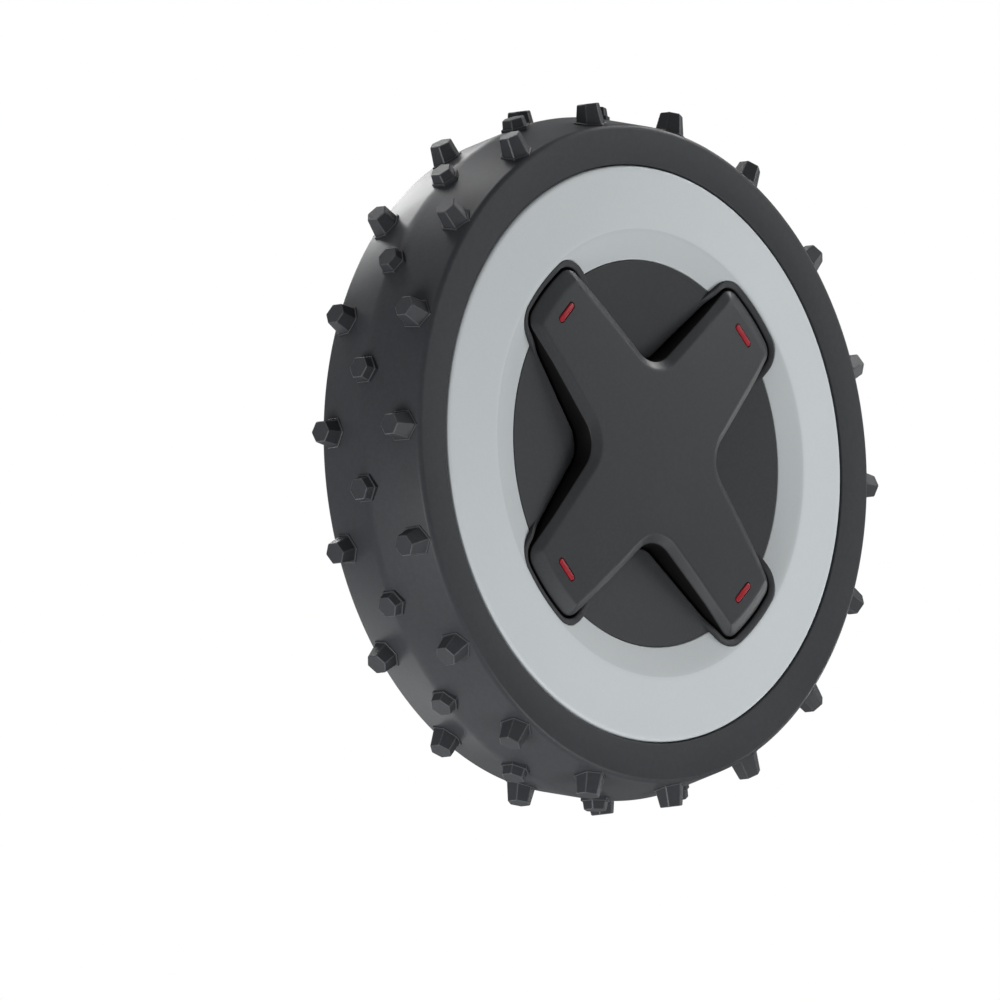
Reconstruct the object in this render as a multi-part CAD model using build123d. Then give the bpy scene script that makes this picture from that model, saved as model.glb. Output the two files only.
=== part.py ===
from build123d import *
import os
from math import atan, cos, degrees, radians, sin, sqrt, tan

# Studded drive wheel with a cross-shaped hub cap.
# Frame: origin at the wheel's centre on the axle line, Y along the axle, outer face towards -Y, +Z up.
# A height is measured along the axle from the middle of the tyre, positive towards the outer face,
# and a plan is drawn as seen from the outer face, X to the right and Z up. All sizes are in millimetres.

# Tyre
tyre_half_width = 20.7
ridge_radius = 106.8
tread_slope = 0.205
ridge_round = 10.0
shoulder_round = 2.0
tyre_thickness = 12.7
front_lip_depth = 3.9
front_lip_thickness = 3.4
tyre_key_count = 12
tyre_key_width = 8.0
tyre_key_depth = 1.6

# Studs, hexagonal, in three rows
stud_height = 3.2
stud_tip_across = 6.4
stud_draft = 8.5
stud_tip_chamfer = 0.4
stud_collar_step = 0.45
stud_collar_height = 0.45
studs_per_row = 18
stud_row_offset = 14.6

# Fits between fixed pieces
seam_gap = 0.3
part_clearance = 0.2

# Wheel rim
barrel_wall = 3.5
web_front_height = 12.0
web_thickness = 3.0
boss_radius = 22.0
boss_back_height = -4.0
rib_count = 12
rib_thickness = 2.2
outer_rib_depth = 11.0
inner_rib_depth = 6.0

# Trim ring on the outer face
trim_crest_height = 23.5
trim_edge_drop = 2.6
trim_edge_round = 1.2
trim_inner_width = 9.3
trim_crest_round = 7.0
trim_wall = 2.2
trim_skirt_thickness = 2.0
trim_flange_width = 5.0

# Hub disc inside the trim ring
disc_edge_drop = 2.1
disc_slope = 0.083
disc_wall = 2.2
pocket_rim_width = 1.65
pocket_rim_drop = 0.25
pocket_rim_fade_width = 8.5
pocket_rim_fade_inset = 2.8
pocket_rim_bevel = 0.6
pocket_floor_thickness = 2.2
disc_centre_hole_radius = 16.0

# Cross cap
cap_reach = 66.3
cap_overhang = 6.0
cap_notch_reach = 25.5
cap_arm_taper = 0.098
cap_notch_round = 10.0
cap_corner_round = 5.0
cap_gap = 1.3
cap_crown_rise = 3.7
cap_tip_slope_width = 5.9
cap_crown_fall = 2.1
cap_tip_slope = 0.40
cap_bevel_foot_drop = 2.7
cap_edge_bevel_width = 2.2
cap_edge_bevel_drop = 1.8
cap_wall = 2.4
cap_seat_gap = 0.3
cap_peg_radius = 2.2
cap_peg_inset = 18.3
cap_peg_end_height = 9.6
cap_peg_boss_radius = 4.0

# Red inlays in the cap's arms
inlay_inset = 9.3
inlay_length = 8.4
inlay_width = 1.9
inlay_thickness = 1.0
inlay_recess = 0.25
inlay_clearance = 0.1

# Rubber grips that hold the cap's pegs
grip_wall = 1.5
grip_flange_width = 2.0
grip_flange_thickness = 0.8
peg_clearance = 0.15

# Rear clamp ring
rear_ring_width = 15.2
rear_ring_outer_height = 20.3
rear_ring_inner_height = 21.2
rear_ring_seat_height = 18.0
tyre_rebate_width = 2.2
rear_ledge_width = 1.9
rear_ledge_thickness = 2.4
tab_count = 8
tab_width = 9.0
tab_thickness = 2.4
tab_depth = 6.5
tab_nose = 1.9
tab_nose_depth = 2.2

# Rear cover, a dished cone with a collar round the axle recess
rear_lip_width = 1.4
rear_hollow_width = 3.2
rear_dish_outer_height = 19.6
rear_dish_slope = 0.37
rear_collar_radius = 49.5
rear_roll_round = 2.0
rear_cover_wall = 2.0
rear_foot_width = 7.5
rear_foot_thickness = 2.5

# Drive hub of metal, bolted into the rim's boss
bore_radius = 6.0
hub_sleeve_radius = 10.5
hub_sleeve_end_height = 12.5
hub_flange_radius = 18.5
hub_flange_thickness = 4.0
drive_slot_width = 4.0
drive_slot_depth = 3.0
hub_screw_circle = 14.2
hub_screw_count = 6

# Axle washer and nut in front of the hub
washer_radius = 11.5
washer_thickness = 1.6
axle_thread_radius = 4.0
nut_across = 13.0
nut_thickness = 6.5

# Screws
screw_radius = 1.6
screw_head_radius = 3.1
screw_head_height = 2.2
screw_socket_across = 2.6
screw_socket_depth = 1.3
screw_hole_clearance = 0.3
pilot_clearance = 0.05
screw_boss_radius = 4.0
trim_screw_inset = 7.4
trim_screw_count = 8
disc_screw_inset = 6.3
rear_screw_inset = 3.5
rear_screw_count = 4
screw_bite = 7.0

# Heights and radii worked out from the sizes above
disc_radius = cap_reach - cap_overhang
cap_crown_edge_radius = cap_reach - cap_tip_slope_width
cap_peg_circle = cap_reach - cap_peg_inset
inlay_circle = cap_reach - inlay_inset
disc_screw_circle = cap_reach - disc_screw_inset
pocket_rim_fade_end = cap_reach - pocket_rim_fade_inset
pocket_rim_fade_start = pocket_rim_fade_end - pocket_rim_fade_width
rear_foot_inner_radius = rear_collar_radius - rear_foot_width
rear_screw_circle = rear_collar_radius - rear_screw_inset
stud_tip_radius = ridge_radius + stud_height
tyre_bore_radius = ridge_radius - tyre_thickness
front_lip_radius = tyre_bore_radius - front_lip_depth
trim_edge_height = trim_crest_height - trim_edge_drop
disc_edge_height = trim_crest_height - disc_edge_drop
pocket_rim_height = trim_crest_height - pocket_rim_drop
cap_crown_height = trim_crest_height + cap_crown_rise
cap_crown_edge_height = cap_crown_height - cap_crown_fall
cap_bevel_height = cap_crown_height - cap_bevel_foot_drop
web_back_height = web_front_height - web_thickness
barrel_outer_radius = tyre_bore_radius - part_clearance
barrel_inner_radius = barrel_outer_radius - barrel_wall
barrel_front_height = tyre_half_width - front_lip_thickness - part_clearance / 2
barrel_back_height = -rear_ring_seat_height
trim_outer_radius = front_lip_radius - seam_gap
trim_inner_radius = disc_radius + seam_gap
trim_crest_radius = trim_inner_radius + trim_inner_width
trim_screw_circle = trim_outer_radius - trim_screw_inset
pocket_floor_height = web_front_height + pocket_floor_thickness
cap_base_height = pocket_floor_height + cap_seat_gap
grip_bore_radius = cap_peg_radius + peg_clearance
grip_radius = grip_bore_radius + grip_wall
grip_flange_radius = grip_radius + grip_flange_width
rear_ring_outer_radius = tyre_bore_radius + tyre_rebate_width - seam_gap
rear_ring_inner_radius = tyre_bore_radius - rear_ring_width
rear_cover_radius = rear_ring_inner_radius - seam_gap
rear_dish_outer_radius = rear_cover_radius - rear_hollow_width
hub_back_height = boss_back_height - hub_flange_thickness
boss_bore_radius = hub_sleeve_radius + 0.1
rear_outer_radius = rear_collar_radius + rear_cover_wall
rear_foot_height = web_back_height - rear_foot_thickness
rear_ledge_height = -rear_ring_inner_height + rear_cover_wall
tab_outer_radius = barrel_inner_radius - part_clearance
tab_end_height = -rear_ring_seat_height + tab_depth
tab_nose_height = tab_end_height - tab_nose_depth
inlay_crown_height = cap_crown_height - cap_crown_fall * (inlay_circle / cap_crown_edge_radius) ** 2
inlay_base_height = inlay_crown_height - inlay_recess - inlay_thickness
crown_edge_slope = 2 * cap_crown_fall / cap_crown_edge_radius
hub_screw_end = boss_back_height + screw_bite
trim_screw_end = web_front_height + screw_bite
disc_screw_end = web_front_height - screw_bite
rear_screw_end = web_back_height + screw_bite
diagonals = (45, 135, 225, 315)
rear_screw_angles = [360 / rear_screw_count * index for index in range(rear_screw_count)]
hub_screw_angles = [360 / hub_screw_count * (index + 0.5) for index in range(hub_screw_count)]
trim_screw_angles = [360 / trim_screw_count * (index + 0.5) for index in range(trim_screw_count)]
tab_angles = [360 / tab_count * (index + 0.5) for index in range(tab_count)]
key_angles = [360 / tyre_key_count * (index + 0.5) for index in range(tyre_key_count)]


def turned(points, radii=0):
    """Solid of revolution about the axle from (radius, height) corners, each rounded by its radius."""
    outline = FilletPolyline([(radius, -height) for radius, height in points], radius=radii, close=True)
    return revolve(make_face(outline.edges()), Axis.Y)


def slab(plan, low, high):
    """Straight prism of a plan between two heights."""
    return extrude(Plane.XZ.offset(low) * plan, amount=high - low)


def post(radius, low, high, at=(0, 0)):
    """Round post along the axle's direction, centred on a point of the plan."""
    return slab(Pos(at[0], at[1]) * Circle(radius), low, high)


def polar(circle, angle):
    """Point of the plan on a circle about the axle, at an angle from +X towards +Z."""
    return (circle * cos(radians(angle)), circle * sin(radians(angle)))


def around(shape, angles):
    """Copies of a shape turned about the axle; a positive angle goes from +X towards +Z."""
    return [Rot(0, -angle, 0) * shape for angle in angles]


def spread(count, first=0.0):
    """Angles of evenly spaced copies."""
    return [first + 360 / count * index for index in range(count)]


def tread_radius(height):
    """Radius of the bare tread at a height."""
    return ridge_radius - tread_slope * abs(height)


def disc_top(radius):
    """Height of the hub disc's dished face at a radius."""
    return disc_edge_height - disc_slope * (disc_radius - radius)


def crown_height(radius):
    """Height of the cap's crowned top at a radius."""
    return cap_crown_height - cap_crown_fall * (radius / cap_crown_edge_radius) ** 2


def cross_plan(grow=0.0):
    """Cross of four tapering arms on the diagonals, grown outwards by an even width."""
    lean = sqrt(1 + cap_arm_taper**2)
    notch_side = (cap_notch_reach / sqrt(2)) + grow * lean / (1 + cap_arm_taper)
    far = cap_reach * 1.3
    far_half = notch_side - cap_arm_taper * (far - notch_side)
    corners = []
    for angle in diagonals:
        along = Vector(cos(radians(angle)), sin(radians(angle)))
        across = Vector(-along.Y, along.X)
        corners += [
            along * far - across * far_half,
            along * far + across * far_half,
            (along + across) * notch_side,
        ]
    arms = Polygon(*corners, align=None) & Circle(cap_reach + grow)
    notches = [v for v in arms.vertices() if Vector(v).length < cap_reach * 0.7]
    arms = fillet(notches, max(cap_notch_round - grow, 0.5))
    tips = [v for v in arms.vertices() if Vector(v).length > cap_reach * 0.95 + grow]
    return fillet(tips, max(cap_corner_round + grow, 0.5))


def tread_solid(raise_by=0.0):
    """Tread body of the tyre, its outer surface raised evenly where wanted."""
    edge = tread_radius(tyre_half_width) + raise_by
    rebate_radius = tyre_bore_radius + tyre_rebate_width
    lip_height = tyre_half_width - front_lip_thickness
    points = [
        (front_lip_radius, tyre_half_width),
        (edge, tyre_half_width),
        (ridge_radius + raise_by, 0),
        (edge, -tyre_half_width),
        (rebate_radius, -tyre_half_width),
        (rebate_radius, -rear_ring_seat_height),
        (tyre_bore_radius, -rear_ring_seat_height),
        (tyre_bore_radius, lip_height),
        (front_lip_radius, lip_height),
    ]
    return turned(points, [0.5, shoulder_round, ridge_round, shoulder_round, 0.5, 0, 0, 0, 0])


def hexagon_spike(across_tip, tip_radius, root_radius):
    """Hexagonal frustum pointing along +X, two of its corners along the axle."""
    depth = tip_radius - root_radius
    across_root = across_tip + 2 * depth * tan(radians(stud_draft))
    root = Plane(origin=(root_radius, 0, 0), x_dir=(0, 1, 0), z_dir=(1, 0, 0))
    return extrude(root * RegularPolygon(across_root / sqrt(3), 6), amount=depth, taper=stud_draft)


def make_stud(collar_limit, row_height):
    """One stud of a row with the low collar that follows the tread round its foot."""
    root_radius = tread_radius(tyre_half_width) - 2.5
    spike = hexagon_spike(stud_tip_across, stud_tip_radius, root_radius)
    spike = chamfer(spike.faces().sort_by(Axis.X)[-1].edges(), stud_tip_chamfer)
    collar = hexagon_spike(stud_tip_across + 2 * stud_collar_step, stud_tip_radius, root_radius)
    place = Pos(0, -row_height, 0)
    return place * spike + (place * collar & collar_limit)


def make_tyre():
    """Moulded tyre: ridged tread, side walls, lip, keys in its bore and three rows of studs."""
    tyre = tread_solid()
    collar_limit = tread_solid(stud_collar_height)
    key_length = barrel_front_height - barrel_back_height
    key = Pos(tyre_bore_radius, -(barrel_front_height + barrel_back_height) / 2, 0) * Box(
        2 * tyre_key_depth, key_length, tyre_key_width
    )
    tyre += around(key, key_angles)
    pitch = 360 / studs_per_row
    side_front = make_stud(collar_limit, stud_row_offset)
    side_back = make_stud(collar_limit, -stud_row_offset)
    middle = make_stud(collar_limit, 0)
    studs = around(side_front, spread(studs_per_row)) + around(side_back, spread(studs_per_row))
    studs += around(middle, spread(studs_per_row, pitch / 2))
    return tyre + studs


def make_wheel_rim():
    """Rim that carries the tyre: barrel, web, hub boss, ribs and the bosses and holes for the screws."""
    barrel = turned([
        (barrel_inner_radius, barrel_back_height),
        (barrel_outer_radius, barrel_back_height),
        (barrel_outer_radius, barrel_front_height),
        (barrel_inner_radius, barrel_front_height),
    ])
    web = turned([
        (boss_bore_radius, web_back_height),
        (barrel_inner_radius + 0.5, web_back_height),
        (barrel_inner_radius + 0.5, web_front_height),
        (boss_bore_radius, web_front_height),
    ])
    boss = post(boss_radius, boss_back_height, web_back_height)
    outer_rib = rib(rear_outer_radius + 1, barrel_inner_radius + 0.5, outer_rib_depth)
    inner_rib = rib(boss_radius - 1, rear_foot_inner_radius - seam_gap, inner_rib_depth)
    angles = spread(rib_count)
    rim = barrel + web + boss + around(outer_rib, angles) + around(inner_rib, angles)

    rim += [post(screw_boss_radius, disc_screw_end - 1, web_back_height, at)
            for at in points_on(disc_screw_circle, diagonals)]
    rim += [post(screw_boss_radius, web_front_height, rear_screw_end + 1, at)
            for at in points_on(rear_screw_circle, rear_screw_angles)]

    cuts = [post(boss_bore_radius, boss_back_height, web_front_height)]
    cuts += [post(screw_radius + pilot_clearance, boss_back_height, hub_screw_end + 0.5, at)
             for at in points_on(hub_screw_circle, hub_screw_angles)]
    cuts += [post(screw_radius + screw_hole_clearance, web_back_height, web_front_height, at)
             for at in points_on(trim_screw_circle, trim_screw_angles)]
    cuts += [post(screw_radius + pilot_clearance, disc_screw_end - 0.5, web_front_height, at)
             for at in points_on(disc_screw_circle, diagonals)]
    cuts += [post(screw_radius + pilot_clearance, web_back_height, rear_screw_end + 0.5, at)
             for at in points_on(rear_screw_circle, rear_screw_angles)]
    cuts += [post(grip_flange_radius, web_back_height, web_front_height, at)
             for at in points_on(cap_peg_circle, diagonals)]

    slot_depth = tyre_key_depth + part_clearance
    key_slot = radial_block(
        tyre_bore_radius - slot_depth, tyre_bore_radius + 1,
        tyre_key_width + 2 * part_clearance, barrel_back_height, barrel_front_height,
    )
    window = radial_block(
        barrel_inner_radius - 1, barrel_outer_radius + 1,
        tab_width + 1, tab_nose_height - part_clearance, tab_end_height + 0.5,
    )
    cuts += around(key_slot, key_angles) + around(window, tab_angles)
    return rim - cuts


def rib(inner_radius, outer_radius, depth):
    """Radial stiffening rib on the back of the web."""
    return radial_block(
        inner_radius, outer_radius, rib_thickness, web_back_height - depth, web_back_height
    )


def radial_block(inner_radius, outer_radius, width, low, high):
    """Block along +X between two radii, of a width across and between two heights."""
    plan = Pos((inner_radius + outer_radius) / 2, 0) * Rectangle(outer_radius - inner_radius, width)
    return slab(plan, low, high)


def points_on(circle, angles):
    """Points of the plan on a circle about the axle."""
    return [polar(circle, angle) for angle in angles]


def make_rear_ring():
    """Clamp ring that holds the tyre from behind, with a ledge for the rear cover and snap tabs."""
    ring = turned([
        (rear_ring_inner_radius, -rear_ring_seat_height),
        (rear_ring_outer_radius, -rear_ring_seat_height),
        (rear_ring_outer_radius, -rear_ring_outer_height),
        (rear_ring_inner_radius, -rear_ring_inner_height),
    ], [0, 0, 0.6, 0.4])
    ledge = turned([
        (rear_ring_inner_radius - rear_ledge_width, rear_ledge_height),
        (rear_ring_inner_radius + 2, rear_ledge_height),
        (rear_ring_inner_radius + 2, rear_ledge_height + rear_ledge_thickness),
        (rear_ring_inner_radius - rear_ledge_width, rear_ledge_height + rear_ledge_thickness),
    ])
    tab = radial_block(
        tab_outer_radius - tab_thickness, tab_outer_radius, tab_width,
        -rear_ring_seat_height - 0.5, tab_end_height,
    )
    nose = radial_block(
        tab_outer_radius - 1, tab_outer_radius + tab_nose, tab_width, tab_nose_height, tab_end_height
    )
    ramp = nose.edges().filter_by(Axis.Z).sort_by(Axis.X)[-2:].sort_by(Axis.Y)[0]
    nose = chamfer(ramp, tab_nose * 0.8)
    return ring + ledge + around(tab + nose, tab_angles)


def make_rear_cover():
    """Dished cover on the back: edge, hollow round, cone, rolled lip, collar and screwed foot."""
    collar_outer = rear_outer_radius
    cone_inner_height = rear_cone_height(rear_collar_radius)
    shell = turned([
        (rear_cover_radius, -rear_ring_inner_height),
        (rear_cover_radius - rear_lip_width, -rear_ring_inner_height),
        (rear_dish_outer_radius, -rear_dish_outer_height),
        (rear_collar_radius, cone_inner_height),
        (rear_collar_radius, rear_foot_height),
        (rear_foot_inner_radius, rear_foot_height),
        (rear_foot_inner_radius, web_back_height),
        (collar_outer, web_back_height),
        (collar_outer, rear_cone_height(collar_outer) + rear_cover_wall),
        (rear_dish_outer_radius, -rear_dish_outer_height + rear_cover_wall),
        (rear_cover_radius - rear_lip_width - 0.4, rear_ledge_height),
        (rear_cover_radius, rear_ledge_height),
    ], [0.3, 0.3, 0.9, rear_roll_round, 0, 0, 0, 0, 1.0, 0.6, 0, 0])
    return shell - [post(screw_radius + screw_hole_clearance, rear_foot_height, web_back_height, at)
                    for at in points_on(rear_screw_circle, rear_screw_angles)]


def rear_cone_height(radius):
    """Height of the rear cover's cone at a radius."""
    return -rear_dish_outer_height + rear_dish_slope * (rear_dish_outer_radius - radius)


def make_trim_ring():
    """Crowned ring between disc and tyre: skirt, inner flange under the disc and screw bosses."""
    seat_height = disc_top(trim_inner_radius) - disc_wall
    flange_radius = trim_inner_radius - trim_flange_width
    flange_height = disc_top(flange_radius) - disc_wall
    inner_slope = (trim_crest_height - disc_edge_height) / (trim_crest_radius - trim_inner_radius)
    web_radius = trim_inner_radius + trim_wall
    skirt_radius = trim_outer_radius - trim_skirt_thickness
    ring = turned([
        (skirt_radius, web_front_height),
        (trim_outer_radius, web_front_height),
        (trim_outer_radius, trim_edge_height),
        (trim_crest_radius, trim_crest_height),
        (trim_inner_radius, disc_edge_height),
        (trim_inner_radius, seat_height),
        (flange_radius, flange_height),
        (flange_radius, flange_height - trim_wall),
        (web_radius, seat_height - trim_wall),
        (web_radius, disc_edge_height + inner_slope * trim_wall - trim_wall),
        (trim_crest_radius, trim_crest_height - trim_wall),
        (skirt_radius, trim_edge_height - trim_wall + 0.3),
    ], [0, 0, trim_edge_round, trim_crest_round, 0.3, 0, 0.3, 0, 0, 0.4, trim_crest_round - trim_wall, 0.5])
    boss_end = trim_crest_height - trim_wall - 0.7
    ring += [post(screw_boss_radius, web_front_height, boss_end, at)
             for at in points_on(trim_screw_circle, trim_screw_angles)]
    ring -= slab(cross_plan(cap_gap + pocket_rim_width + seam_gap), web_front_height, trim_crest_height + 1)
    return ring - [post(screw_radius + pilot_clearance, web_front_height, trim_screw_end + 0.5, at)
                   for at in points_on(trim_screw_circle, trim_screw_angles)]


def make_hub_disc():
    """Dished disc with a cross-shaped pocket whose rim stands up round the tips of the arms."""
    skin = turned([
        (disc_centre_hole_radius, disc_top(disc_centre_hole_radius) - disc_wall),
        (disc_radius, disc_edge_height - disc_wall),
        (disc_radius, disc_edge_height),
        (disc_centre_hole_radius, disc_top(disc_centre_hole_radius)),
    ], [0, 0, 0.4, 0])
    reach = cap_reach + cap_gap + pocket_rim_width
    rim_limit = turned([
        (disc_centre_hole_radius, web_front_height),
        (reach + 1, web_front_height),
        (reach + 1, pocket_rim_height),
        (pocket_rim_fade_end, pocket_rim_height),
        (pocket_rim_fade_start, disc_top(pocket_rim_fade_start)),
        (disc_centre_hole_radius, disc_top(disc_centre_hole_radius)),
    ], [0, 0, 0, 4, 4, 0])
    tub = slab(cross_plan(cap_gap + pocket_rim_width), web_front_height, pocket_rim_height + 1) & rim_limit
    crests = [edge for edge in tub.edges() if abs(edge.center().Y + pocket_rim_height) < 0.01
              and Vector(edge.center().X, edge.center().Z).length > pocket_rim_fade_end + 1]
    tub = fillet(crests, pocket_rim_bevel)
    disc = skin + tub - slab(cross_plan(cap_gap), pocket_floor_height, pocket_rim_height + 1)
    disc -= [post(grip_radius + pilot_clearance, web_front_height, pocket_floor_height, at)
             for at in points_on(cap_peg_circle, diagonals)]
    return disc - [post(screw_radius + screw_hole_clearance, web_front_height, pocket_floor_height, at)
                   for at in points_on(disc_screw_circle, diagonals)]


def crown_profile(drop, low):
    """Turned body under the cap's crown and sloping tips, lowered by an even drop."""
    steps = [cap_crown_edge_radius * index / 4 for index in range(5)]
    crown = Spline(*[(radius, -(crown_height(radius) - drop)) for radius in steps],
                   tangents=[(1, 0), (1, crown_edge_slope)])
    far_radius = cap_reach + 4
    far_height = cap_crown_edge_height - drop - cap_tip_slope * (far_radius - cap_crown_edge_radius)
    sides = Polyline(crown @ 1, (far_radius, -far_height), (far_radius, -low), (0, -low), crown @ 0)
    return revolve(make_face([crown] + sides.edges()), Axis.Y)


def make_cross_cap():
    """Pull-off cap: hollow crowned cross with bevelled edges, four pegs and grooves for the inlays."""
    body = slab(cross_plan(), cap_base_height, cap_bevel_height)
    bevel_angle = degrees(atan(cap_edge_bevel_width / cap_edge_bevel_drop))
    body += extrude(Plane.XZ.offset(cap_bevel_height) * cross_plan(),
                    amount=cap_crown_height + 0.3 - cap_bevel_height, taper=bevel_angle)
    body &= crown_profile(0, cap_base_height)
    cavity = slab(cross_plan(-cap_wall), cap_base_height, cap_crown_height)
    cap = body - (cavity & crown_profile(cap_wall, cap_base_height))
    peg_limit = crown_profile(cap_wall / 2, cap_peg_end_height)
    for at in points_on(cap_peg_circle, diagonals):
        stem = post(cap_peg_boss_radius, pocket_floor_height + grip_flange_thickness + 0.5,
                    cap_crown_height, at)
        peg = chamfer(post(cap_peg_radius, cap_peg_end_height, cap_crown_height, at)
                      .edges().sort_by(Axis.Y)[-1], 0.5)
        cap += (stem + peg) & peg_limit
    grooves = [inlay_bar(angle, 0, inlay_base_height, cap_crown_height) for angle in diagonals]
    return cap - grooves


def inlay_bar(angle, clearance, low, high):
    """Curved bar with round ends on the inlays' circle, smaller all round by a clearance."""
    sweep = degrees((inlay_length - inlay_width) / inlay_circle)
    line = CenterArc((0, 0), inlay_circle, angle - sweep / 2, sweep)
    return slab(SlotArc(line, inlay_width - 2 * clearance), low, high)


def make_inlay(angle):
    """Red bar set into the groove near the tip of one arm."""
    return inlay_bar(angle, inlay_clearance, inlay_base_height, inlay_base_height + inlay_thickness)


def make_grip(at):
    """Rubber bush snapped through the pocket floor, gripping one peg of the cap."""
    web_hole_radius = grip_flange_radius - 0.8
    grip = post(grip_radius, web_front_height, pocket_floor_height, at)
    grip += post(grip_flange_radius, pocket_floor_height, pocket_floor_height + grip_flange_thickness, at)
    grip += post(web_hole_radius, web_front_height - grip_flange_thickness, web_front_height, at)
    return grip - post(grip_bore_radius, web_back_height, cap_base_height + 2, at)


def make_drive_hub():
    """Metal hub: flange, sleeve through the rim's boss, axle bore and a slot for the axle's cross pin."""
    hub = post(hub_sleeve_radius, boss_back_height, hub_sleeve_end_height)
    hub = chamfer(hub.edges().sort_by(Axis.Y)[0], 0.8)
    flange = post(hub_flange_radius, hub_back_height, boss_back_height)
    hub += chamfer(flange.edges(), 0.5)
    hub -= post(bore_radius, hub_back_height, hub_sleeve_end_height)
    slot = Rectangle(4 * hub_flange_radius, drive_slot_width)
    hub -= slab(slot, hub_back_height, hub_back_height + drive_slot_depth)
    return hub - [post(screw_radius + screw_hole_clearance, hub_back_height, boss_back_height, at)
                  for at in points_on(hub_screw_circle, hub_screw_angles)]


def make_screw(at, head_seat, end, side):
    """Screw with a round head and hexagon socket; side is +1 for a head towards the outer face."""
    low, high = sorted((head_seat, end))
    top = head_seat + side * screw_head_height
    head = post(screw_head_radius, min(head_seat, top), max(head_seat, top), at)
    head = chamfer(head.edges().sort_by(Axis.Y)[0 if side > 0 else -1], 0.4)
    floor = top - side * screw_socket_depth
    socket = slab(Pos(at[0], at[1]) * RegularPolygon(screw_socket_across / sqrt(3), 6),
                  min(top, floor), max(top, floor))
    return head - socket + post(screw_radius, low, high, at)


def screw_set(circle, angles, head_seat, end, side):
    """Equal screws on a circle about the axle."""
    return Compound([make_screw(at, head_seat, end, side) for at in points_on(circle, angles)])


def make_axle_washer():
    """Washer between the hub's sleeve and the axle nut."""
    top = hub_sleeve_end_height + washer_thickness
    washer = post(washer_radius, hub_sleeve_end_height, top)
    return washer - post(axle_thread_radius + part_clearance, hub_sleeve_end_height, top)


def make_axle_nut():
    """Hexagonal nut that holds the wheel on its axle."""
    low = hub_sleeve_end_height + washer_thickness
    nut = slab(RegularPolygon(nut_across / sqrt(3), 6), low, low + nut_thickness)
    nut &= chamfer(post(nut_across / sqrt(3), low, low + nut_thickness).edges().sort_by(Axis.Y)[0], 0.8)
    return nut - post(axle_thread_radius, low, low + nut_thickness)


def export(name, shape):
    """Writes one sub-part under its node's name."""
    export_step(shape, f"parts/{name}.step")
    print(name, "solids", len(shape.solids()), "volume", round(shape.volume, 1))


if __name__ == "__main__":
    os.makedirs("parts", exist_ok=True)
    export("tyre", make_tyre())
    export("wheel_rim", make_wheel_rim())
    export("rear_ring", make_rear_ring())
    export("rear_cover", make_rear_cover())
    export("trim_ring", make_trim_ring())
    export("hub_disc", make_hub_disc())
    export("cross_cap", make_cross_cap())
    corners = ("upper_right", "upper_left", "lower_left", "lower_right")
    for corner, angle in zip(corners, diagonals):
        export(f"red_inlay_{corner}", make_inlay(angle))
        export(f"cap_grip_{corner}", make_grip(polar(cap_peg_circle, angle)))
    export("drive_hub", make_drive_hub())
    export("axle_washer", make_axle_washer())
    export("axle_nut", make_axle_nut())
    export("hub_screws", screw_set(hub_screw_circle, hub_screw_angles, hub_back_height, hub_screw_end, -1))
    export("trim_screws", screw_set(trim_screw_circle, trim_screw_angles, web_back_height, trim_screw_end, -1))
    export("disc_screws", screw_set(disc_screw_circle, diagonals, pocket_floor_height, disc_screw_end, 1))
    export("rear_cover_screws", screw_set(
        rear_screw_circle, rear_screw_angles, rear_foot_height, rear_screw_end, -1))
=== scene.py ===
"""Studded drive wheel with a cross-shaped hub cap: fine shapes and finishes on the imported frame."""

from math import atan, atan2, cos, degrees, hypot, pi, radians, sin, sqrt, tan

import bmesh
import bpy
from mathutils import Matrix, Vector


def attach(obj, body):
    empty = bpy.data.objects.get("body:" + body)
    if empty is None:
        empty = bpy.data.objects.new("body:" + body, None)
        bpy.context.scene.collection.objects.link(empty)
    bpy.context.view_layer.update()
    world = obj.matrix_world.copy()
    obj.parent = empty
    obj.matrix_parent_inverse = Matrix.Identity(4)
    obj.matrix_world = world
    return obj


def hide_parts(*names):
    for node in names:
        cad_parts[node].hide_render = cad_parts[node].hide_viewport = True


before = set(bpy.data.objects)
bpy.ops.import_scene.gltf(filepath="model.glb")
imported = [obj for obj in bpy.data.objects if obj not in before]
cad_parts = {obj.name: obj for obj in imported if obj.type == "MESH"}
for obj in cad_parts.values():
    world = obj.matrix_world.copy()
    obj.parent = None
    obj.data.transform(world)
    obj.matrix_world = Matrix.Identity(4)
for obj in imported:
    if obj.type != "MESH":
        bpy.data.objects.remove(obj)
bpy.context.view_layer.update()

bl_info = {
    "name": "Studded Drive Wheel",
    "version": (1, 0, 0),
    "blender": (4, 5, 0),
    "location": "3D View > Sidebar > Wheel",
    "description": "Builds the tyre, trim ring, hub disc and cross cap of a studded drive wheel",
    "category": "Add Mesh",
}

# Lengths are in millimetres until a mesh is finished. A height is measured along the axle from the
# middle of the tyre, positive towards the outer face, which looks along -Y.
MM = 0.001
DIAGONALS = (45, 135, 225, 315)
CORNERS = ("upper_right", "upper_left", "lower_left", "lower_right")

# Vertices nearer than MERGE become one, and places nearer than NEAR count as level with each other.
MERGE = 0.0005
NEAR = 0.001

# Angles in degrees past which an edge stays crisp, and the steps of a full turn.
STUD_CREASE = 20
CREASE = 50
TYRE_STEPS = 360
FACE_STEPS = 720
HOLE_STEPS = 48

# Radius past the trim ring out to which an outline is searched, and how often the search halves.
SEARCH_RADIUS = 90.0
HALVINGS = 24

# Steps of the cross outline round the notch, along the side, round a tip's corner and over the tip.
NOTCH_STEPS, SIDE_STEPS, CORNER_STEPS, TIP_STEPS = 8, 18, 9, 7

# Round at the inner edges of the tyre's side walls.
WALL_ROUND = 0.6
# Radius inside the pocket's outline from which the dish is pushed out to the pocket.
DISH_START = 24
# How far outside the pocket's wall the dish ends, hidden under the pocket's rim.
DISH_TUCK = 0.5
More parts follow.
